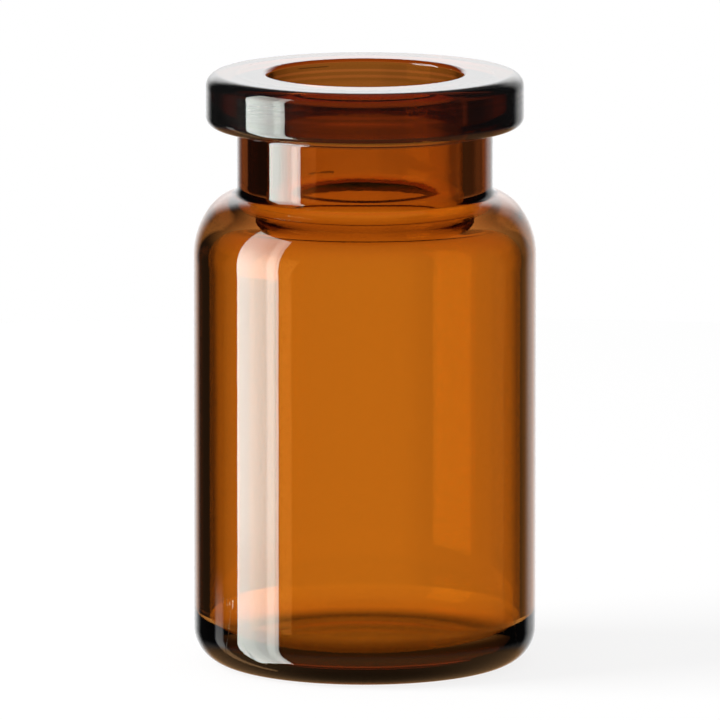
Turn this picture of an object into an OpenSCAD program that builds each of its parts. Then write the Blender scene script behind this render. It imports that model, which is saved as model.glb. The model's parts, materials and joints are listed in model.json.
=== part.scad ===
// Amber glass sample vial with a crimp finish, drawn tube formed into one piece.
// Millimetres, +Z up, origin at the centre of the foot.

/* [Body] */
// Outside diameter of the body tube
body_d = 22; // [20.5:0.1:30]
// Wall thickness of the body tube
wall = 1; // [0.7:0.05:1.4]

/* [Shoulder] */
// Height from the foot to the top of the shoulder, where the neck rises
shoulder_h = 30.5; // [16:0.1:32]
// Radius of the long lower curve of the shoulder
shoulder_low_r = 5; // [4:0.1:7]
// Angle that the lower curve turns through
shoulder_low_angle = 36.87; // [10:0.01:45]
// Radius of the tighter upper curve of the shoulder
shoulder_high_r = 2.7; // [2:0.1:3.4]
// Radius of the shoulder's inside curve
shoulder_in_r = 3.15; // [2:0.05:4]
// How far the inside curve's top stays below the throat
shoulder_in_drop = 0.2; // [0.05:0.05:0.6]

/* [Neck] */
// Outside diameter of the neck
neck_d = 16.4; // [15:0.1:17.5]
// Diameter of the bore through rim and neck
bore_d = 12.6; // [11:0.1:13.6]
// Radius of the inside corner where the neck meets the shoulder
neck_root_r = 0.55; // [0.2:0.05:0.9]
// Rounding of the edge where the bore opens into the body
throat_r = 1.6; // [0.8:0.05:2]

/* [Rim] */
// Height of the whole vial, foot to rim
total_h = 38.2; // [37:0.1:60]
// Outside diameter of the crimp rim
rim_d = 20.4; // [19.6:0.1:21]
// Height of the crimp rim
rim_h = 3.4; // [2.6:0.1:4]
// Rounding of the upper outside edge of the rim
rim_top_r = 0.85; // [0.3:0.05:1.1]
// Rounding of the lower outside edge of the rim
rim_low_r = 0.65; // [0.2:0.05:0.9]
// Radius of the inside corner under the rim
under_rim_r = 0.4; // [0.2:0.05:0.8]
// Rounding of the mouth edge
mouth_r = 0.3; // [0.1:0.05:0.6]

/* [Base] */
// Outside corner radius of the base
base_r = 2.3; // [1.2:0.1:3]
// Height of the inside floor above the foot
floor_h = 1.4; // [1.3:0.1:3]
// Corner radius between the inside floor and the wall
floor_r = 2; // [0.8:0.1:3]
// Depth of the hollow under the base
hollow_depth = 0.9; // [0.2:0.05:1]
// Width of the flat ring that the vial stands on
foot_ring_w = 1; // [0.5:0.1:2]

/* [Hidden] */
$fn = 128;
amber = [0.55, 0.24, 0.04];
// How far a cutting shape runs past the face that it cuts
past = 1;

body_r = body_d / 2;
neck_r = neck_d / 2;
bore_r = bore_d / 2;
rim_r = rim_d / 2;
rim_under_h = total_h - rim_h;

// The foot ring is the flat between the base corner and the hollow
foot_outer_r = body_r - base_r;
hollow_r = foot_outer_r - foot_ring_w;
hollow_sphere_r = (hollow_r * hollow_r + hollow_depth * hollow_depth) / (2 * hollow_depth);

// Centres of the two shoulder curves, each as [radius, height]. The curves meet without a corner.
centre_gap = shoulder_low_r - shoulder_high_r;
high_centre = [
    body_r - shoulder_low_r + centre_gap * cos(shoulder_low_angle),
    shoulder_h - shoulder_high_r
];
low_centre = [body_r - shoulder_low_r, high_centre.y - centre_gap * sin(shoulder_low_angle)];

// The neck corner touches the neck and the upper shoulder curve, or its flat top on a wide body
root_out = max(0, neck_r + neck_root_r - high_centre.x);
root_centre = [
    neck_r + neck_root_r,
    high_centre.y + sqrt(pow(shoulder_high_r + neck_root_r, 2) - root_out * root_out)
];

// The inside of the shoulder curves in from the wall and runs on straight to the throat's rounding.
// The straight piece touches both, and leans by the angle that the inside curve turns through.
inner_r = body_r - wall;
throat_centre = [bore_r + throat_r, shoulder_h - wall + throat_r];
in_centre = [
    inner_r - shoulder_in_r,
    shoulder_h - wall - shoulder_in_drop - shoulder_in_r
];
in_way = throat_centre - in_centre;
in_angle = atan2(in_way.y, in_way.x) - acos((shoulder_in_r + throat_r) / norm(in_way));
in_lean = [cos(in_angle), sin(in_angle)];

// Rectangle from one corner to the other, each as [radius, height]
module slab(low, high) {
    translate(low) square(high - low);
}

// Disc around a centre
module disc(centre, radius) {
    translate(centre) circle(r = radius);
}

// What is left of a square corner around a quarter disc, for fillets and rounded edges.
// The square has its corner at the given point and reaches along the two signs.
module corner_web(corner, radius, out, up) {
    difference() {
        translate(corner + [min(out, 0), min(up, 0)] * radius) square(radius);
        disc(corner + [out, up] * radius, radius);
    }
}

// Half section of a tube with a rounded lower corner
module tube_section(side_r, low_h, high_h, corner_r) {
    difference() {
        slab([0, low_h], [side_r, high_h]);
        corner_web([side_r, low_h], corner_r, -1, 1);
    }
}

// Part of a disc that lies between straight out and an angle above it
module wedge(centre, radius, angle) {
    reach = 2 * radius;
    intersection() {
        disc(centre, radius);
        polygon([
            centre - [0, past],
            centre + [reach, -past],
            centre + [cos(angle), sin(angle)] * reach,
            centre
        ]);
    }
}

// Half section of the solid body with its shoulder
module body_section() {
    tube_section(body_r, 0, low_centre.y, base_r);
    wedge(low_centre, shoulder_low_r, shoulder_low_angle);
    disc(high_centre, shoulder_high_r);
    slab([0, low_centre.y - past], [high_centre.x, shoulder_h]);
}

// Half section of the air in the body, up to the throat. The pieces overlap, so that no film is
// left between them.
module cavity_section() {
    curve_end = in_centre + in_lean * shoulder_in_r;
    throat_end = throat_centre - in_lean * throat_r;
    tube_section(inner_r, floor_h, in_centre.y, floor_r);
    wedge(in_centre, shoulder_in_r, in_angle);
    difference() {
        polygon([
            [0, in_centre.y - past],
            [in_centre.x + shoulder_in_r / 2, in_centre.y - past],
            curve_end,
            throat_end,
            throat_centre,
            [0, throat_centre.y]
        ]);
        disc(throat_centre, throat_r);
    }
}

// Half section of the neck with the corner at its root
module neck_section() {
    slab([0, high_centre.y], [neck_r, total_h - rim_h / 2]);
    difference() {
        polygon([
            [min(high_centre.x, root_centre.x), high_centre.y],
            root_centre,
            [neck_r - neck_root_r, root_centre.y],
            [neck_r - neck_root_r, high_centre.y]
        ]);
        disc(root_centre, neck_root_r);
    }
}

// Half section of the rim with rounded edges and the corner under it
module rim_section() {
    difference() {
        slab([0, rim_under_h], [rim_r, total_h]);
        corner_web([rim_r, total_h], rim_top_r, -1, -1);
        corner_web([rim_r, rim_under_h], rim_low_r, -1, 1);
    }
    corner_web([neck_r, rim_under_h], under_rim_r, 1, -1);
}

// Half section of all that is air inside: cavity, bore and rounded mouth
module inside_section() {
    cavity_section();
    slab([0, in_centre.y], [bore_r, total_h + past]);
    corner_web([bore_r, total_h], mouth_r, 1, -1);
}

// The whole vial turned about its axis
module vial() {
    color(amber)
        rotate_extrude()
            difference() {
                intersection() {
                    union() {
                        body_section();
                        neck_section();
                        rim_section();
                    }
                    slab([0, 0], [body_r + past, total_h]);
                }
                inside_section();
                disc([0, hollow_depth - hollow_sphere_r], hollow_sphere_r);
            }
}

vial();
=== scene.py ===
"""Amber glass sample vial with a crimp neck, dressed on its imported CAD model.

The glass is turned from one half section, drawn in millimetres with the sizes of the CAD model.
The studio is a pale floor under white surroundings, with a soft box on the left and dark flags
that draw the dark edges which clear glass has against white.
"""

import json
import logging
import math
from dataclasses import dataclass, field
from enum import Enum

import bmesh
import bpy
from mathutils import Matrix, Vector


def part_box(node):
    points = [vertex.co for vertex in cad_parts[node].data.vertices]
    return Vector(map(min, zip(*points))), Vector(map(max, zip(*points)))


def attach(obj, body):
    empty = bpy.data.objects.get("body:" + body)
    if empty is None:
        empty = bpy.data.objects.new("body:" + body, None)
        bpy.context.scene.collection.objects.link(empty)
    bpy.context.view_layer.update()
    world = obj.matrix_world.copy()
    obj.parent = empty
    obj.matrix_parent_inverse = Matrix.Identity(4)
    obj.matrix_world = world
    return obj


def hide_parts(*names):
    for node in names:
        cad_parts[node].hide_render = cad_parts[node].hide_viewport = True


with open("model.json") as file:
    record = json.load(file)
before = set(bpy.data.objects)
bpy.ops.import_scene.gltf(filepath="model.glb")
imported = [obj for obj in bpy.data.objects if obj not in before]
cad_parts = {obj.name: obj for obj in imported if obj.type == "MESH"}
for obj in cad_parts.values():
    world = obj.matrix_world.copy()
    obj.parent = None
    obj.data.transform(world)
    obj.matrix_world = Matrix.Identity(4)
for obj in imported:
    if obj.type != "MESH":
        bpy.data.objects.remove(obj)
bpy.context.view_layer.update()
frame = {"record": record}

LOG = logging.getLogger("vial_scene")

# One millimetre and one micron in the frame's metres
MM = 0.001
MICRON = 0.000001
# Kept off the top and bottom of the CAD model's box, in millimetres
HAIR = 0.00002
# Sides of the round stage pieces
ROUND_STEPS = 96

Point = tuple[float, float]
Colour = tuple[float, float, float]
Socket = bpy.types.NodeSocket


class RayKind(Enum):
    """Kinds of ray that a shader can tell apart, by the name of their output."""

    CAMERA = "Is Camera Ray"
    GLOSSY = "Is Glossy Ray"
    TRANSMISSION = "Is Transmission Ray"
    # Counts how often the light's path was mirrored before
    MIRRORED = "Glossy Depth"


class Sum(Enum):
    """Operations of a Math node."""

    ADD = "ADD"
    SUBTRACT = "SUBTRACT"
    MULTIPLY = "MULTIPLY"
    ABSOLUTE = "ABSOLUTE"
    ANGLE = "ARCTAN2"
    ARCSINE = "ARCSINE"
    POWER = "POWER"


@dataclass(frozen=True)
class SoftStep:
    """Smooth change of a level over a span of an angle, a height or a radius."""

    start: float
    end: float
    before: float = 0.0
    after: float = 1.0


class Wiring:
    """Lays nodes on a shader tree and joins them."""

    def __init__(self, tree: bpy.types.NodeTree) -> None:
        """Empties the tree and keeps it.

        Args:
            tree: The node tree of a material or of the world.
        """
        self.tree = tree
        tree.nodes.clear()

    def node(self, kind: str, **settings: object) -> bpy.types.Node:
        """Adds a node.

        Args:
            kind: The node's type name.
            settings: Properties to set on the node.

        Returns:
            The new node.
        """
        made = self.tree.nodes.new(kind)
        for name, value in settings.items():
            setattr(made, name, value)
        return made

    def feed(self, socket: Socket, value: object) -> None:
        """Sets an input to a plain value, or joins another node's output to it.

        Args:
            socket: The input.
            value: A number, a tuple or an output socket.
        """
        if isinstance(value, bpy.types.NodeSocket):
            self.tree.links.new(value, socket)
        else:
            socket.default_value = value

    def math(self, kind: Sum, *values: object) -> Socket:
        """Works out one number from one or two others.

        Args:
            kind: The operation.
            values: Numbers or outputs.

        Returns:
            The result's output.
        """
        made = self.node("ShaderNodeMath", operation=kind.value)
        for socket, value in zip(made.inputs, values):
            self.feed(socket, value)
        return made.outputs[0]

    def product(self, *values: object) -> Socket:
        """Multiplies two or more numbers.

        Args:
            values: Numbers or outputs.

        Returns:
            The product's output.
        """
        result = values[0]
        for value in values[1:]:
            result = self.math(Sum.MULTIPLY, result, value)
        return result

    def total(self, *values: object) -> Socket:
        """Adds two or more numbers.

        Args:
            values: Numbers or outputs.

        Returns:
            The sum's output.
        """
        result = values[0]
        for value in values[1:]:
            result = self.math(Sum.ADD, result, value)
        return result

    def ramp(self, value: Socket, step: SoftStep) -> Socket:
        """Maps a number smoothly from the start of a step to its end.

        Args:
            value: The number to map.
            step: The step.

        Returns:
            The level's output.
        """
        made = self.node("ShaderNodeMapRange", interpolation_type="SMOOTHSTEP")
        for name, number in (("Value", value), ("From Min", step.start), ("From Max", step.end),
                             ("To Min", step.before), ("To Max", step.after)):
            self.feed(made.inputs[name], number)
        return made.outputs["Result"]

    def blend(self, share: object, first: object, second: object) -> Socket:
        """Mixes two numbers.

        Args:
            share: Share of the second, from 0 to 1.
            first: Number or output at share 0.
            second: Number or output at share 1.

        Returns:
            The result's output.
        """
        made = self.node("ShaderNodeMix", data_type="FLOAT")
        for socket, value in zip(made.inputs[:4], (share, None, first, second)):
            if value is not None:
                self.feed(socket, value)
        return made.outputs[0]

    def band(self, value: Socket, low: float, high: float, edge: float) -> Socket:
        """Marks a span of a number with soft edges.

        Args:
            value: The number.
            low: Lower end of the span.
            high: Upper end of the span.
            edge: Width of each soft edge.

        Returns:
            An output that is 1 inside the span and 0 outside.
        """
        half = edge / 2
        rise = self.ramp(value, SoftStep(low - half, low + half))
        fall = self.ramp(value, SoftStep(high - half, high + half, 1.0, 0.0))
        return self.product(rise, fall)

    def tinted(self, share: object, first: object, second: object) -> Socket:
        """Mixes two colours.

        Args:
            share: Share of the second, from 0 to 1.
            first: Colour or output at share 0.
            second: Colour or output at share 1.

        Returns:
            The colour's output.
        """
        made = self.node("ShaderNodeMix", data_type="RGBA")
        inputs = {socket.identifier: socket for socket in made.inputs}
        self.feed(inputs["Factor_Float"], share)
        self.feed(inputs["A_Color"], first)
        self.feed(inputs["B_Color"], second)
        return next(socket for socket in made.outputs if socket.identifier == "Result_Color")

    def scaled(self, place: Socket, factor: float) -> Socket:
        """Multiplies a vector by a number.

        Args:
            place: The vector.
            factor: The number.

        Returns:
            The vector's output.
        """
        made = self.node("ShaderNodeVectorMath", operation="SCALE")
        self.feed(made.inputs["Vector"], place)
        self.feed(made.inputs["Scale"], factor)
        return made.outputs["Vector"]

    def grain(self, place: Socket, pitch: tuple[float, float, float], detail: float = 1.0) -> Socket:
        """Makes noise with its own pitch along each axis.

        Args:
            place: Coordinates, in metres.
            pitch: Size of a patch along X, Y and Z, in millimetres.
            detail: Finer layers on top.

        Returns:
            An output between about 0 and 1.
        """
        stretch = self.node("ShaderNodeMapping")
        self.feed(stretch.inputs["Vector"], place)
        self.feed(stretch.inputs["Scale"], tuple(1 / (size * MM) for size in pitch))
        noise = self.node("ShaderNodeTexNoise")
        self.feed(noise.inputs["Vector"], stretch.outputs[0])
        self.feed(noise.inputs["Scale"], 1.0)
        self.feed(noise.inputs["Detail"], detail)
        return noise.outputs[0]


@dataclass(frozen=True)
class VialSizes:
    """Sizes of the vial's half section in millimetres, as in the CAD model."""

    body_r: float
    height: float
    bore_r: float
    rim_r: float
    wall: float = 1.0
    shoulder_h: float = 30.5
    shoulder_low_r: float = 5.0
    shoulder_high_r: float = 2.7
    shoulder_low_angle: float = 36.87
    neck_r: float = 8.2
    neck_root_r: float = 0.55
    shoulder_in_r: float = 3.15
    shoulder_in_drop: float = 0.2
    throat_r: float = 1.6
    rim_h: float = 3.4
    rim_top_r: float = 0.85
    rim_low_r: float = 0.65
    under_rim_r: float = 0.4
    mouth_r: float = 0.3
    base_r: float = 2.3
    floor_h: float = 1.4
    floor_r: float = 2.0
    hollow_depth: float = 0.9
    foot_ring_w: float = 1.0

    @classmethod
    def from_frame(cls) -> "VialSizes":
        """Takes the outer sizes from the frame's box and mounts.

        Returns:
            The sizes of this vial.
        """
        low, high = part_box("vial")
        radii = {m["name"]: m["dims"].get("r_mm") for m in frame["record"]["mounts"]}
        return cls(
            body_r=min(high.x, high.y, -low.x, -low.y) / MM,
            height=high.z / MM - 2 * HAIR,
            bore_r=radii["mouth_bore"],
            rim_r=radii["crimp_rim"],
        )

    @property
    def hollow_r(self) -> float:
        """Radius of the hollow under the base."""
        return self.body_r - self.base_r - self.foot_ring_w

    @property
    def hollow_sphere_r(self) -> float:
        """Radius of the ball that shapes the hollow."""
        return (self.hollow_r**2 + self.hollow_depth**2) / (2 * self.hollow_depth)

    @property
    def high_centre(self) -> Point:
        """Centre of the upper shoulder curve."""
        gap = self.shoulder_low_r - self.shoulder_high_r
        out = self.body_r - self.shoulder_low_r + gap * math.cos(math.radians(self.shoulder_low_angle))
        return (out, self.shoulder_h - self.shoulder_high_r)

    @property
    def low_centre(self) -> Point:
        """Centre of the lower shoulder curve."""
        gap = self.shoulder_low_r - self.shoulder_high_r
        drop = gap * math.sin(math.radians(self.shoulder_low_angle))
        return (self.body_r - self.shoulder_low_r, self.high_centre[1] - drop)

    @property
    def root_angle(self) -> float:
        """Angle at which the upper shoulder curve meets the neck corner, in degrees from level."""
        across = self.neck_r + self.neck_root_r - self.high_centre[0]
        return math.degrees(math.acos(across / (self.shoulder_high_r + self.neck_root_r)))

    @property
    def root_centre(self) -> Point:
        """Centre of the corner where the neck meets the shoulder."""
        reach = self.shoulder_high_r + self.neck_root_r
        rise = reach * math.sin(math.radians(self.root_angle))
        return (self.neck_r + self.neck_root_r, self.high_centre[1] + rise)

    @property
    def throat_centre(self) -> Point:
        """Centre of the rounding where the bore opens into the body."""
        return (self.bore_r + self.throat_r, self.shoulder_h - self.wall + self.throat_r)

    @property
    def in_centre(self) -> Point:
        """Centre of the shoulder's inside curve."""
        low = self.shoulder_h - self.wall - self.shoulder_in_drop - self.shoulder_in_r
        return (self.body_r - self.wall - self.shoulder_in_r, low)

    @property
    def in_angle(self) -> float:
        """Angle that the shoulder's inside curve turns through, in degrees."""
        across = self.throat_centre[0] - self.in_centre[0]
        up = self.throat_centre[1] - self.in_centre[1]
        lean = math.acos((self.shoulder_in_r + self.throat_r) / math.hypot(across, up))
        return math.degrees(math.atan2(up, across) - lean)


class SectionPen:
    """Draws a half section in the XZ plane, point by point, and turns it about Z."""

    # Degrees of an arc between two points
    ARC_STEP = 5.0
    # Distance of the support rows from the ends of a straight stretch, in millimetres
    SUPPORT = 0.06
    # Copies of the section around the axis
    TURN_STEPS = 320

    def __init__(self, start: Point) -> None:
        """Puts the first point down.

        Args:
            start: Radius and height of the point.
        """
        self.mesh = bmesh.new()
        self.tip = self.mesh.verts.new((start[0], 0.0, start[1]))

    def _step_to(self, place: Vector) -> None:
        """Extrudes the last point to a place."""
        made = bmesh.ops.extrude_vert_indiv(self.mesh, verts=[self.tip])
        self.tip = made["verts"][0]
        bmesh.ops.translate(self.mesh, verts=[self.tip], vec=place - self.tip.co)

    def line(self, end: Point) -> None:
        """Draws a straight stretch, with a support row near each end that keeps its shading flat.

        Args:
            end: Radius and height of the end.
        """
        start = self.tip.co.copy()
        finish = Vector((end[0], 0.0, end[1]))
        length = (finish - start).length
        if length > 3 * self.SUPPORT:
            self._step_to(start.lerp(finish, self.SUPPORT / length))
            self._step_to(start.lerp(finish, 1 - self.SUPPORT / length))
        self._step_to(finish)

    def arc(self, centre: Point, degrees: float) -> None:
        """Draws an arc from the last point.

        Args:
            centre: Radius and height of the arc's centre.
            degrees: Angle of the arc, anticlockwise where positive.
        """
        steps = max(2, round(abs(degrees) / self.ARC_STEP))
        made = bmesh.ops.spin(
            self.mesh,
            geom=[self.tip],
            cent=(centre[0], 0.0, centre[1]),
            axis=(0.0, -1.0, 0.0),
            angle=math.radians(degrees),
            steps=steps,
        )
        self.tip = next(part for part in made["geom_last"] if isinstance(part, bmesh.types.BMVert))

    def turn(self) -> bmesh.types.BMesh:
        """Turns the section about Z and closes its seam and poles.

        Returns:
            The turned mesh, in millimetres.
        """
        bmesh.ops.spin(
            self.mesh,
            geom=[*self.mesh.verts, *self.mesh.edges],
            cent=(0.0, 0.0, 0.0),
            axis=(0.0, 0.0, 1.0),
            angle=math.tau,
            steps=self.TURN_STEPS,
            use_merge=True,
        )
        bmesh.ops.remove_doubles(self.mesh, verts=self.mesh.verts, dist=MM)
        bmesh.ops.recalc_face_normals(self.mesh, faces=self.mesh.faces)
        return self.mesh


@dataclass(frozen=True)
class Mark:
    """Fine scratch or draw line that runs up the outside, with a slight bend."""

    # Degrees around the axis from the front towards the right, at the mark's middle
    bearing: float
    # Heights of its two ends, in millimetres
    low: float
    high: float
    # Width, sideways lean at the top and sideways bend at both ends, in degrees around the axis
    width: float = 0.5
    lean: float = 0.0
    bend: float = 0.0
    # Share of its half length after which it fades
    full: float = 0.8

    def wire(self, wiring: Wiring, turn: Socket, height: Socket) -> Socket:
        """Wires the share of the mark at a place.

        Args:
            wiring: The material's wiring.
            turn: Degrees around the axis.
            height: Millimetres above the foot.

        Returns:
            The share's output.
        """
        half = (self.high - self.low) / 2
        along = wiring.product(wiring.math(Sum.SUBTRACT, height, self.low + half), 1 / half)
        path = wiring.total(self.bearing, wiring.product(along, self.lean),
                            wiring.product(along, along, self.bend))
        off = wiring.math(Sum.ABSOLUTE, wiring.math(Sum.SUBTRACT, turn, path))
        across = wiring.ramp(off, SoftStep(0.0, self.width, 1.0, 0.0))
        ends = wiring.ramp(wiring.math(Sum.ABSOLUTE, along), SoftStep(self.full, 1.0, 1.0, 0.0))
        return wiring.product(across, ends)


@dataclass(frozen=True)
class AmberGlass:
    """Drawn amber glass: clear at the surface, coloured by the depth that light passes through, with
    painted shade on the rim's outside and at a ring in the bore, and painted light lines in the rim.
    """

    ior: float = 1.5
    # Colour of light that has crossed one wall, whatever its thickness
    colour: Colour = (1.0, 0.61, 0.12)
    # The same on the outside of the pressed rim, darker: partly the rim's glass, partly painted shade for
    # the dark that the thick rim mirrors
    rim_shade_colour: Colour = (0.48, 0.31, 0.03)
    # Height below the rim over which the rim's painted shade and its sheen set in, in millimetres
    rim_fade: float = 0.3
    # Painted shade: a darker colour on the bore's wall where the rim joins the neck, for the dark ring
    # there, and where that starts and ends, in millimetres below the rim's top
    bore_ring_shade_colour: Colour = (0.5, 0.33, 0.06)
    core_depth: Point = (2.35, 3.95)
    core_edge: float = 0.2
    # Distances from the bore's wall over which this painted shade ends, in millimetres
    bore_fade: Point = (0.1, 0.3)
    # Light left in each channel is exp(-density x (1 - tint) x metres of glass)
    density: float = 460.0
    tint: Colour = (0.430, 0.033, 0.009)
    # Painted light: lighter lines around the rim, where its colour is clearer: depth below its top and
    # width, in millimetres, and clearness
    painted_light_lines: tuple[tuple[float, float, float], ...] = (
        (1.10, 0.16, 1.0),
        (1.49, 0.18, 0.75),
        (1.98, 0.36, 0.35),
        (2.86, 0.55, 0.35),
    )
    # Colour of the painted light lines
    light_line_colour: Colour = (1.0, 0.55, 0.09)
    # Radius outside which the rim has its painted shade and its sheen, and the width over which that
    # starts, in millimetres
    rim_shade_and_sheen_r: float = 8.4
    rim_shade_and_sheen_fade: float = 0.4
    # Milky sheen of the rim, and how widely it spreads the light
    rim_sheen: float = 0.2
    rim_sheen_roughness: float = 0.5
    speck_colour: Colour = (0.42, 0.2, 0.03)
    # Height of the waves that the tools leave on rim and neck, in microns, their pitch along X, Y
    # and Z, and how far from the neck's root they fade, in millimetres
    tool_waves: float = 2.2
    tool_pitch: tuple[float, float, float] = (0.9, 0.9, 0.4)
    tool_fade: float = 1.5
    # Height of the fine upright lines of the drawn tube, in microns, and their pitch
    draw_lines: float = 0.5
    draw_pitch: tuple[float, float, float] = (0.6, 0.6, 40.0)
    # Height of the broad waves of the wall, in microns, and their pitch
    wall_waves: float = 5.0
    wall_pitch: tuple[float, float, float] = (4.0, 4.0, 7.0)
    # Depth of the marks, in microns, their roughness, and how softly they end inside the wall
    mark_depth: float = 3.0
    mark_roughness: float = 0.25
    mark_edge: float = 0.1
    marks: tuple[Mark, ...] = (
        Mark(53.7, 3.2, 23.0, width=0.3),
        Mark(-52.5, 1.2, 4.9, width=0.45, lean=2.4, bend=-0.8),
        Mark(-43.0, 1.4, 2.6, width=0.5, lean=-3.0),
        Mark(60.5, 1.6, 5.4, width=0.4, lean=-2.0, bend=1.0),
        Mark(-50.0, 4.6, 5.2, width=0.35),
        Mark(-51.6, 4.7, 5.3, width=0.35),
        Mark(-53.4, 4.6, 5.2, width=0.35),
        Mark(-55.4, 4.7, 5.2, width=0.35),
    )
    # Distance between specks and their size, in millimetres, and the share of places that have one,
    # with the small span of shares over which a speck is faint
    speck_pitch: float = 1.6
    speck_size: float = 0.05
    speck_share: float = 0.15
    speck_faint: float = 0.01

    def build(self, sizes: VialSizes) -> bpy.types.Material:
        """Makes the material.

        Args:
            sizes: Sizes of the vial that wears it.

        Returns:
            The glass material.
        """
        made = bpy.data.materials.new("amber_glass")
        made.use_nodes = True
        wiring = Wiring(made.node_tree)
        place = wiring.node("ShaderNodeTexCoord").outputs["Object"]
        split = wiring.node("ShaderNodeSeparateXYZ")
        wiring.feed(split.inputs[0], wiring.scaled(place, 1 / MM))
        x, y, height = split.outputs
        radius = wiring.math(Sum.POWER, wiring.total(wiring.product(x, x), wiring.product(y, y)), 0.5)
        scored = self._scored(wiring, x, y, height, radius, sizes)
        specks = self._specks(wiring, place)
        glass = wiring.node("ShaderNodeBsdfPrincipled")
        for name, value in (("Base Color", self._colour(wiring, height, radius, specks, sizes)),
                            ("Roughness", wiring.product(scored, self.mark_roughness)),
                            ("IOR", self.ior), ("Transmission Weight", 1.0),
                            ("Coat Weight", wiring.product(self._in_rim(wiring, height, radius, sizes),
                                                           self.rim_sheen)),
                            ("Coat Roughness", self.rim_sheen_roughness),
                            ("Normal", self._relief(wiring, place, height, scored, sizes))):
            wiring.feed(glass.inputs[name], value)
        depth = wiring.node("ShaderNodeVolumeAbsorption")
        wiring.feed(depth.inputs["Color"], (*self.tint, 1.0))
        wiring.feed(depth.inputs["Density"], self.density)
        end = wiring.node("ShaderNodeOutputMaterial")
        wiring.feed(end.inputs["Surface"], glass.outputs["BSDF"])
        wiring.feed(end.inputs["Volume"], depth.outputs["Volume"])
        return made

    def _scored(self, wiring: Wiring, x: Socket, y: Socket, height: Socket, radius: Socket,
                sizes: VialSizes) -> Socket:
        """Wires the share of scratches and draw lines on the outside.

        Args:
            wiring: The material's wiring.
            x: Millimetres along X.
            y: Millimetres along Y.
            height: Millimetres above the foot.
            radius: Millimetres from the axis.
            sizes: Sizes of the vial.

        Returns:
            The share's output.
        """
        turn = wiring.product(wiring.math(Sum.ANGLE, x, wiring.product(y, -1.0)), math.degrees(1.0))
        lines = wiring.total(*(mark.wire(wiring, turn, height) for mark in self.marks))
        middle = sizes.body_r - sizes.wall / 2
        outside = wiring.ramp(radius, SoftStep(middle - self.mark_edge, middle + self.mark_edge))
        return wiring.product(lines, outside)

    def _specks(self, wiring: Wiring, place: Socket) -> Socket:
        """Wires the share of tiny dark specks.

        Args:
            wiring: The material's wiring.
            place: Object coordinates.

        Returns:
            The share's output.
        """
        cells = wiring.node("ShaderNodeTexVoronoi")
        wiring.feed(cells.inputs["Vector"], place)
        wiring.feed(cells.inputs["Scale"], 1 / (self.speck_pitch * MM))
        size = self.speck_size / self.speck_pitch
        dot = wiring.ramp(cells.outputs["Distance"], SoftStep(size / 2, size, 1.0, 0.0))
        chance = wiring.node("ShaderNodeSeparateXYZ")
        wiring.feed(chance.inputs[0], cells.outputs["Color"])
        limit = SoftStep(self.speck_share, self.speck_share + self.speck_faint, 1.0, 0.0)
        return wiring.product(dot, wiring.ramp(chance.outputs[0], limit))

    def _colour(self, wiring: Wiring, height: Socket, radius: Socket, specks: Socket,
                sizes: VialSizes) -> Socket:
        """Wires the colour of one wall, with painted shade on the rim's outside and at the bore's ring,
        painted light lines in the rim, and dark specks.

        Args:
            wiring: The material's wiring.
            height: Millimetres above the foot.
            radius: Millimetres from the axis.
            specks: Share of specks.
            sizes: Sizes of the vial.

        Returns:
            The colour's output.
        """
        depth = wiring.math(Sum.SUBTRACT, sizes.height, height)
        # Painted light: lighter lines in the rim
        bands = (wiring.product(clear, wiring.band(depth, place - width / 2, place + width / 2, width / 2))
                 for place, width, clear in self.painted_light_lines)
        # Painted shade on the rim's outside, with the painted light lines in it
        painted_rim = wiring.tinted(wiring.total(*bands), (*self.rim_shade_colour, 1.0), (*self.light_line_colour, 1.0))
        in_rim = self._in_rim(wiring, height, radius, sizes)
        start, end = (sizes.bore_r + distance for distance in self.bore_fade)
        in_bore = wiring.ramp(radius, SoftStep(start, end, 1.0, 0.0))
        # Painted shade: a dark ring on the bore's wall below the rim
        painted_bore_ring = wiring.product(in_bore, wiring.band(depth, *self.core_depth, self.core_edge))
        colour = wiring.tinted(painted_bore_ring, (*self.colour, 1.0), (*self.bore_ring_shade_colour, 1.0))
        colour = wiring.tinted(in_rim, colour, painted_rim)
        return wiring.tinted(specks, colour, (*self.speck_colour, 1.0))

    def _in_rim(self, wiring: Wiring, height: Socket, radius: Socket, sizes: VialSizes) -> Socket:
        """Wires the share of the rim's outside, which holds the rim's painted shade and its sheen.

        Args:
            wiring: The material's wiring.
            height: Millimetres above the foot.
            radius: Millimetres from the axis.
            sizes: Sizes of the vial.

        Returns:
            The share's output.
        """
        under = sizes.height - sizes.rim_h
        outside = SoftStep(self.rim_shade_and_sheen_r - self.rim_shade_and_sheen_fade, self.rim_shade_and_sheen_r)
        return wiring.product(wiring.ramp(height, SoftStep(under - self.rim_fade, under)),
                              wiring.ramp(radius, outside))

    def _relief(self, wiring: Wiring, place: Socket, height: Socket, scored: Socket,
                sizes: VialSizes) -> Socket:
        """Wires the faint waves of the surface.

        Args:
            wiring: The material's wiring.
            place: Object coordinates.
            height: Millimetres above the foot.
            scored: Share of scratches and draw lines.
            sizes: Sizes of the vial.

        Returns:
            The normal's output.
        """
        root = sizes.root_centre[1]
        tooled = wiring.ramp(height, SoftStep(root - self.tool_fade, root + self.tool_fade))
        drawn = wiring.math(Sum.SUBTRACT, 1.0, tooled)
        waves = wiring.total(
            wiring.product(tooled, self.tool_waves, wiring.grain(place, self.tool_pitch)),
            wiring.product(drawn, self.draw_lines, wiring.grain(place, self.draw_pitch)),
            wiring.product(self.wall_waves, wiring.grain(place, self.wall_pitch)),
            wiring.product(scored, -self.mark_depth),
        )
        bump = wiring.node("ShaderNodeBump")
        for name, value in (("Strength", 1.0), ("Distance", MICRON), ("Height", waves)):
            wiring.feed(bump.inputs[name], value)
        return bump.outputs["Normal"]


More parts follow.
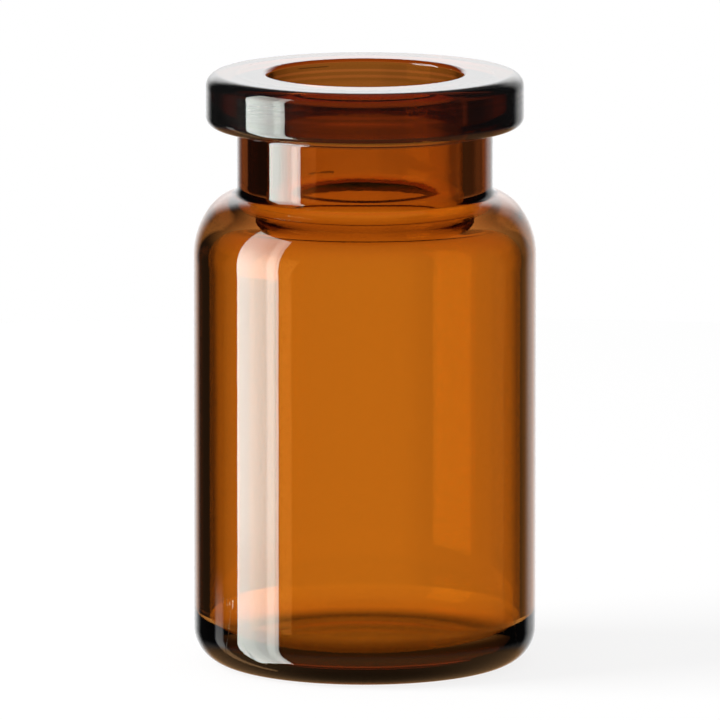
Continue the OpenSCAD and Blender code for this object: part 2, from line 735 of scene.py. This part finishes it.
@dataclass
class GlassVial:
    """The whole vial, one piece of glass."""

    sizes: VialSizes = field(default_factory=VialSizes.from_frame)
    glass: AmberGlass = field(default_factory=AmberGlass)
    name: str = "glass_vial"

    def _draw_outside(self, pen: SectionPen) -> None:
        """Draws the outer surface from the middle of the base up to the rim's top."""
        s = self.sizes
        half_hollow = math.degrees(math.asin(s.hollow_r / s.hollow_sphere_r))
        pen.arc((0.0, s.hollow_depth - s.hollow_sphere_r), -half_hollow)
        pen.line((s.body_r - s.base_r, 0.0))
        pen.arc((s.body_r - s.base_r, s.base_r), 90.0)
        pen.line((s.body_r, s.low_centre[1]))
        pen.arc(s.low_centre, s.shoulder_low_angle)
        pen.arc(s.high_centre, s.root_angle - s.shoulder_low_angle)
        pen.arc(s.root_centre, -s.root_angle)
        under = s.height - s.rim_h
        pen.line((s.neck_r, under - s.under_rim_r))
        pen.arc((s.neck_r + s.under_rim_r, under - s.under_rim_r), -90.0)
        pen.line((s.rim_r - s.rim_low_r, under))
        pen.arc((s.rim_r - s.rim_low_r, under + s.rim_low_r), 90.0)
        pen.line((s.rim_r, s.height - s.rim_top_r))
        pen.arc((s.rim_r - s.rim_top_r, s.height - s.rim_top_r), 90.0)

    def _draw_inside(self, pen: SectionPen) -> None:
        """Draws the inner surface from the rim's top down to the middle of the inside floor."""
        s = self.sizes
        inner_r = s.body_r - s.wall
        lean = math.radians(s.in_angle)
        pen.line((s.bore_r + s.mouth_r, s.height))
        pen.arc((s.bore_r + s.mouth_r, s.height - s.mouth_r), 90.0)
        pen.line((s.bore_r, s.throat_centre[1]))
        pen.arc(s.throat_centre, s.in_angle)
        pen.line((s.in_centre[0] + s.shoulder_in_r * math.cos(lean),
                  s.in_centre[1] + s.shoulder_in_r * math.sin(lean)))
        pen.arc(s.in_centre, -s.in_angle)
        pen.line((inner_r, s.floor_h + s.floor_r))
        pen.arc((inner_r - s.floor_r, s.floor_h + s.floor_r), -90.0)
        pen.line((0.0, s.floor_h))

    def build(self) -> bpy.types.Object:
        """Turns the section, dresses it and sets it in place of the CAD solid.

        Returns:
            The vial's object.
        """
        pen = SectionPen((0.0, self.sizes.hollow_depth))
        self._draw_outside(pen)
        self._draw_inside(pen)
        turned = pen.turn()
        bmesh.ops.translate(turned, verts=turned.verts, vec=(0.0, 0.0, HAIR))
        bmesh.ops.scale(turned, vec=(MM, MM, MM), verts=turned.verts)
        mesh = bpy.data.meshes.new(self.name)
        turned.to_mesh(mesh)
        turned.free()
        mesh.shade_smooth()
        mesh.materials.append(self.glass.build(self.sizes))
        piece = bpy.data.objects.new(self.name, mesh)
        bpy.context.scene.collection.objects.link(piece)
        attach(piece, "root")
        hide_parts("vial")
        LOG.info("%s: %d faces", piece.name, len(mesh.polygons))
        return piece


@dataclass
class PaleFloor:
    """Round pale table under the vial."""

    radius: float = 0.14
    # Share of white that the table shows by itself; the rest is lit and holds the shadow
    glow: float = 0.84
    albedo: float = 0.16

    def build(self) -> bpy.types.Object:
        """Makes the table.

        Returns:
            The table's object.
        """
        disc = bmesh.new()
        bmesh.ops.create_circle(disc, cap_ends=True, segments=ROUND_STEPS, radius=self.radius)
        mesh = bpy.data.meshes.new("floor")
        disc.to_mesh(mesh)
        disc.free()
        mesh.materials.append(self._material())
        floor = bpy.data.objects.new("floor", mesh)
        bpy.context.scene.collection.objects.link(floor)
        floor.visible_glossy = False
        floor.visible_transmission = False
        LOG.info("floor: radius %.0f mm", self.radius / MM)
        return floor

    def _material(self) -> bpy.types.Material:
        """Makes the table's finish.

        Returns:
            The material: matt white, with a glow that only the camera sees.
        """
        made = bpy.data.materials.new("pale_floor")
        made.use_nodes = True
        wiring = Wiring(made.node_tree)
        matt = wiring.node("ShaderNodeBsdfDiffuse")
        wiring.feed(matt.inputs["Color"], (self.albedo, self.albedo, self.albedo, 1.0))
        glow = wiring.node("ShaderNodeEmission")
        rays = wiring.node("ShaderNodeLightPath")
        wiring.feed(glow.inputs["Strength"], wiring.math(Sum.MULTIPLY, rays.outputs[RayKind.CAMERA.value],
                                                         self.glow))
        both = wiring.node("ShaderNodeAddShader")
        wiring.feed(both.inputs[0], matt.outputs["BSDF"])
        wiring.feed(both.inputs[1], glow.outputs["Emission"])
        end = wiring.node("ShaderNodeOutputMaterial")
        wiring.feed(end.inputs["Surface"], both.outputs["Shader"])
        return made


@dataclass(frozen=True)
class ContactShade:
    """Round shade under the foot. Only light that has come through the glass shows it."""

    radius: float = 0.019
    # Depth under the table's surface
    depth: float = 0.0001
    # Level by distance from the vial's axis
    level: SoftStep = SoftStep(0.0100, 0.0142, 0.06, 1.0)

    def build(self) -> bpy.types.Object:
        """Makes the shade.

        Returns:
            The shade's object.
        """
        disc = bmesh.new()
        bmesh.ops.create_circle(disc, cap_ends=True, segments=ROUND_STEPS, radius=self.radius)
        bmesh.ops.translate(disc, verts=disc.verts, vec=(0.0, 0.0, -self.depth))
        mesh = bpy.data.meshes.new("contact_shade")
        disc.to_mesh(mesh)
        disc.free()
        mesh.materials.append(self._material())
        shade = bpy.data.objects.new("contact_shade", mesh)
        bpy.context.scene.collection.objects.link(shade)
        shade.visible_camera = False
        shade.visible_diffuse = False
        shade.visible_glossy = False
        shade.visible_shadow = False
        return shade

    def _material(self) -> bpy.types.Material:
        """Makes the shade's finish, dark in the middle.

        Returns:
            The material.
        """
        made = bpy.data.materials.new("contact_shade")
        made.use_nodes = True
        wiring = Wiring(made.node_tree)
        length = wiring.node("ShaderNodeVectorMath", operation="LENGTH")
        wiring.feed(length.inputs[0], wiring.node("ShaderNodeTexCoord").outputs["Object"])
        glow = wiring.node("ShaderNodeEmission")
        wiring.feed(glow.inputs["Strength"], wiring.ramp(length.outputs["Value"], self.level))
        end = wiring.node("ShaderNodeOutputMaterial")
        wiring.feed(end.inputs["Surface"], glow.outputs["Emission"])
        return made


@dataclass(frozen=True)
class SoftBox:
    """Area lamp beside the vial, placed by its direction from the vial."""

    name: str
    # Degrees from the front towards the left
    bearing: float
    # Height of the lamp's middle above the table, in metres
    height: float
    distance: float
    width: float
    tall: float
    radiance: float

    def build(self, aim: Vector) -> bpy.types.Object:
        """Makes the lamp and turns it to the vial.

        Args:
            aim: Point that the lamp faces.

        Returns:
            The lamp's object.
        """
        turn = math.radians(self.bearing)
        place = Vector((-math.sin(turn) * self.distance, -math.cos(turn) * self.distance, self.height))
        lamp = bpy.data.lights.new(self.name, "AREA")
        lamp.shape = "RECTANGLE"
        lamp.size = self.width
        lamp.size_y = self.tall
        lamp.energy = self.radiance * math.pi * self.width * self.tall
        made = bpy.data.objects.new(self.name, lamp)
        made.location = place
        made.rotation_euler = (aim - place).to_track_quat("-Z", "Y").to_euler()
        made.visible_camera = False
        made.visible_glossy = False
        made.visible_transmission = False
        bpy.context.scene.collection.objects.link(made)
        LOG.info("%s: radiance %.1f", self.name, self.radiance)
        return made


@dataclass(frozen=True)
class WhiteStudio:
    """White surroundings, with dark flags beside the background and a high soft light behind.

    Bearings are degrees from straight behind the vial, positive to the right. Rises are degrees
    above level.
    """

    # Level on matt things
    ambient: float = 0.5
    # What shows through the glass
    backdrop_through: float = 0.93
    flags: tuple[SoftStep, ...] = (
        SoftStep(-21.0, -14.5, 0.05, 1.0),
        SoftStep(-15.0, -3.0, 0.72, 1.0),
        SoftStep(0.9, 2.0, 1.0, 0.91),
        SoftStep(14.0, 21.0, 1.0, 0.42),
        SoftStep(28.0, 42.0, 1.0, 0.4),
    )
    flag_end: SoftStep = SoftStep(60.0, 68.0)
    side_level: float = 0.8
    table_rise: SoftStep = SoftStep(-12.0, -14.0)
    table_level: float = 1.0
    sky_rise: SoftStep = SoftStep(12.0, 50.0)
    sky_level: float = 1.2
    # The big soft box, as the inside of the glass mirrors it
    glimpse_bearing: Point = (-126.0, -90.0)
    glimpse_level: float = 4.4
    # Thin dark screen behind the bright reflection, so that its white stays clean
    screen_bearing: Point = (-7.3, -3.1)
    screen_rise: Point = (-10.7, -8.85)
    screen_edge: float = 0.3
    screen_level: float = 0.42
    # What the outer surface mirrors
    room_level: float = 0.012
    backdrop_level: float = 1.15
    backdrop: tuple[SoftStep, ...] = (
        SoftStep(-34.0, -14.0),
        SoftStep(12.0, 30.0, 1.0, 0.65),
        SoftStep(30.0, 44.0, 1.0, 0.0),
    )
    backdrop_rise: tuple[SoftStep, ...] = (SoftStep(-32.0, -12.0), SoftStep(20.0, 32.0, 1.0, 0.08))
    rear_light_level: float = 0.6
    rear_light_rise: tuple[SoftStep, ...] = (SoftStep(1.0, 10.0), SoftStep(18.0, 34.0, 1.0, 0.0))
    rear_light_spread: SoftStep = SoftStep(14.0, 32.0, 1.0, 0.0)
    # The table around the vial, lit through the amber glass
    near_table_rise: tuple[SoftStep, ...] = (
        SoftStep(-30.0, -14.0, 0.4, 0.0),
        SoftStep(-75.0, -40.0, 0.5, 1.0),
    )
    near_table_tint: Colour = (1.0, 0.55, 0.25)
    near_table_tinted: SoftStep = SoftStep(-26.0, -16.0, 1.0, 0.0)
    # A card at the left of the table
    side_card_bearing: Point = (-68.0, -58.5)
    side_card_rise: Point = (-58.0, -10.28)
    # Width of its soft edges at the sides and at top and bottom
    side_card_edges: Point = (4.0, 0.4)
    side_card_level: float = 1.3
    # The big soft box on the left, with its fabric's fold
    window_bearing: Point = (-119.6, -84.0)
    window_rise: Point = (-45.0, 38.0)
    window_edge: float = 1.0
    window_level: float = 13.5
    window_fade: SoftStep = SoftStep(-109.0, -92.0, 0.78, 1.0)
    window_rise_fades: tuple[SoftStep, ...] = (
        SoftStep(-2.0, 30.0, 1.0, 0.5),
        SoftStep(-10.25, -9.8, 0.88, 1.0),
    )
    window_fold: Point = (-116.5, -110.5)
    window_fold_edge: float = 2.0
    window_fold_level: float = 3.4
    window_tint: Colour = (0.92, 0.97, 0.91)

    def build(self) -> None:
        """Sets the world's shader."""
        world = bpy.data.worlds.new("white_studio")
        bpy.context.scene.world = world
        world.use_nodes = True
        wiring = Wiring(world.node_tree)
        place = wiring.node("ShaderNodeTexCoord").outputs["Generated"]
        split = wiring.node("ShaderNodeSeparateXYZ")
        wiring.feed(split.inputs[0], place)
        x, y, z = split.outputs
        bearing = wiring.product(wiring.math(Sum.ANGLE, x, y), math.degrees(1.0))
        rise = wiring.product(wiring.math(Sum.ARCSINE, z), math.degrees(1.0))
        rays = wiring.node("ShaderNodeLightPath")
        glossy = rays.outputs[RayKind.GLOSSY.value]
        window = wiring.product(wiring.band(bearing, *self.window_bearing, self.window_edge),
                                wiring.band(rise, *self.window_rise, self.window_edge))
        level = wiring.blend(glossy, self.ambient, self._mirrored(wiring, bearing, rise, window))
        level = wiring.blend(rays.outputs[RayKind.TRANSMISSION.value], level,
                             self._shown_through(wiring, bearing, rise))
        level = wiring.blend(rays.outputs[RayKind.CAMERA.value], level, 1.0)
        amber = wiring.product(glossy, wiring.ramp(rise, self.near_table_tinted))
        colour = wiring.tinted(amber, (1.0, 1.0, 1.0, 1.0), (*self.near_table_tint, 1.0))
        colour = wiring.tinted(wiring.product(window, glossy), colour, (*self.window_tint, 1.0))
        sky = wiring.node("ShaderNodeBackground")
        wiring.feed(sky.inputs["Color"], colour)
        wiring.feed(sky.inputs["Strength"], level)
        end = wiring.node("ShaderNodeOutputWorld")
        wiring.feed(end.inputs["Surface"], sky.outputs["Background"])

    def _shown_through(self, wiring: Wiring, bearing: Socket, rise: Socket) -> Socket:
        """Wires what light that has come through the glass shows.

        Args:
            wiring: The world's wiring.
            bearing: Degrees from straight behind.
            rise: Degrees above level.

        Returns:
            The level's output.
        """
        flags = wiring.product(self.backdrop_through, *(wiring.ramp(bearing, step) for step in self.flags))
        screen = wiring.product(wiring.band(bearing, *self.screen_bearing, self.screen_edge),
                                wiring.band(rise, *self.screen_rise, self.screen_edge))
        flags = wiring.product(flags, wiring.blend(screen, 1.0, self.screen_level))
        beyond = wiring.ramp(wiring.math(Sum.ABSOLUTE, bearing), self.flag_end)
        level = wiring.blend(beyond, flags, self.side_level)
        level = wiring.blend(wiring.ramp(rise, self.table_rise), level, self.table_level)
        level = wiring.blend(wiring.ramp(rise, self.sky_rise), level, self.sky_level)
        mirrored = wiring.node("ShaderNodeLightPath").outputs[RayKind.MIRRORED.value]
        glimpse = wiring.product(wiring.band(bearing, *self.glimpse_bearing, self.window_edge),
                                 wiring.band(rise, *self.window_rise, self.window_edge),
                                 wiring.ramp(mirrored, SoftStep(0.0, 1.0)))
        return wiring.blend(glimpse, level, self.glimpse_level)

    def _mirrored(self, wiring: Wiring, bearing: Socket, rise: Socket, window: Socket) -> Socket:
        """Wires what the outer surface mirrors.

        Args:
            wiring: The world's wiring.
            bearing: Degrees from straight behind.
            rise: Degrees above level.
            window: Share of the big soft box in this direction.

        Returns:
            The level's output.
        """
        backdrop = wiring.product(self.backdrop_level,
                                  *(wiring.ramp(rise, step) for step in self.backdrop_rise),
                                  *(wiring.ramp(bearing, step) for step in self.backdrop))
        spread = wiring.ramp(wiring.math(Sum.ABSOLUTE, bearing), self.rear_light_spread)
        rear_light = wiring.product(self.rear_light_level, spread,
                                    *(wiring.ramp(rise, step) for step in self.rear_light_rise))
        fold = wiring.product(wiring.band(bearing, *self.window_fold, self.window_fold_edge),
                              self.window_fold_level)
        cloth = wiring.product(wiring.ramp(bearing, self.window_fade), self.window_level)
        window = wiring.product(window, wiring.total(cloth, fold),
                                *(wiring.ramp(rise, step) for step in self.window_rise_fades))
        table = wiring.product(*(wiring.ramp(rise, step) for step in self.near_table_rise))
        side_edge, end_edge = self.side_card_edges
        card = wiring.product(self.side_card_level,
                              wiring.band(bearing, *self.side_card_bearing, side_edge),
                              wiring.band(rise, *self.side_card_rise, end_edge))
        return wiring.total(self.room_level, backdrop, rear_light, table, card, window)


@dataclass(frozen=True)
class PortraitCamera:
    """Long lens at the photograph's height and distance."""

    aim: tuple[float, float, float] = (-0.000315, 0.0, 0.01956)
    distance: float = 0.9
    elevation: float = 9.25
    lens: float = 700.7

    def build(self) -> bpy.types.Object:
        """Makes the camera and makes it the scene's own.

        Returns:
            The camera's object.
        """
        tilt = math.radians(self.elevation)
        aim = Vector(self.aim)
        place = aim + Vector((0.0, -math.cos(tilt), math.sin(tilt))) * self.distance
        lens = bpy.data.cameras.new("camera")
        lens.lens = self.lens
        made = bpy.data.objects.new("camera", lens)
        made.location = place
        made.rotation_euler = (aim - place).to_track_quat("-Z", "Y").to_euler()
        bpy.context.scene.collection.objects.link(made)
        bpy.context.scene.camera = made
        return made


SOFT_BOXES = (
    SoftBox("key_light", bearing=77.75, height=0.10, distance=0.45, width=0.305, tall=0.8, radiance=10.5),
)


def main() -> None:
    """Builds the camera, the vial and the studio in order."""
    logging.basicConfig(level=logging.INFO, format="%(name)s: %(message)s")
    bpy.context.scene.view_settings.view_transform = "Standard"
    PortraitCamera().build()
    GlassVial().build()
    PaleFloor().build()
    ContactShade().build()
    WhiteStudio().build()
    for box in SOFT_BOXES:
        box.build(Vector((0.0, 0.0, box.height)))


if __name__ == "__main__":
    main()
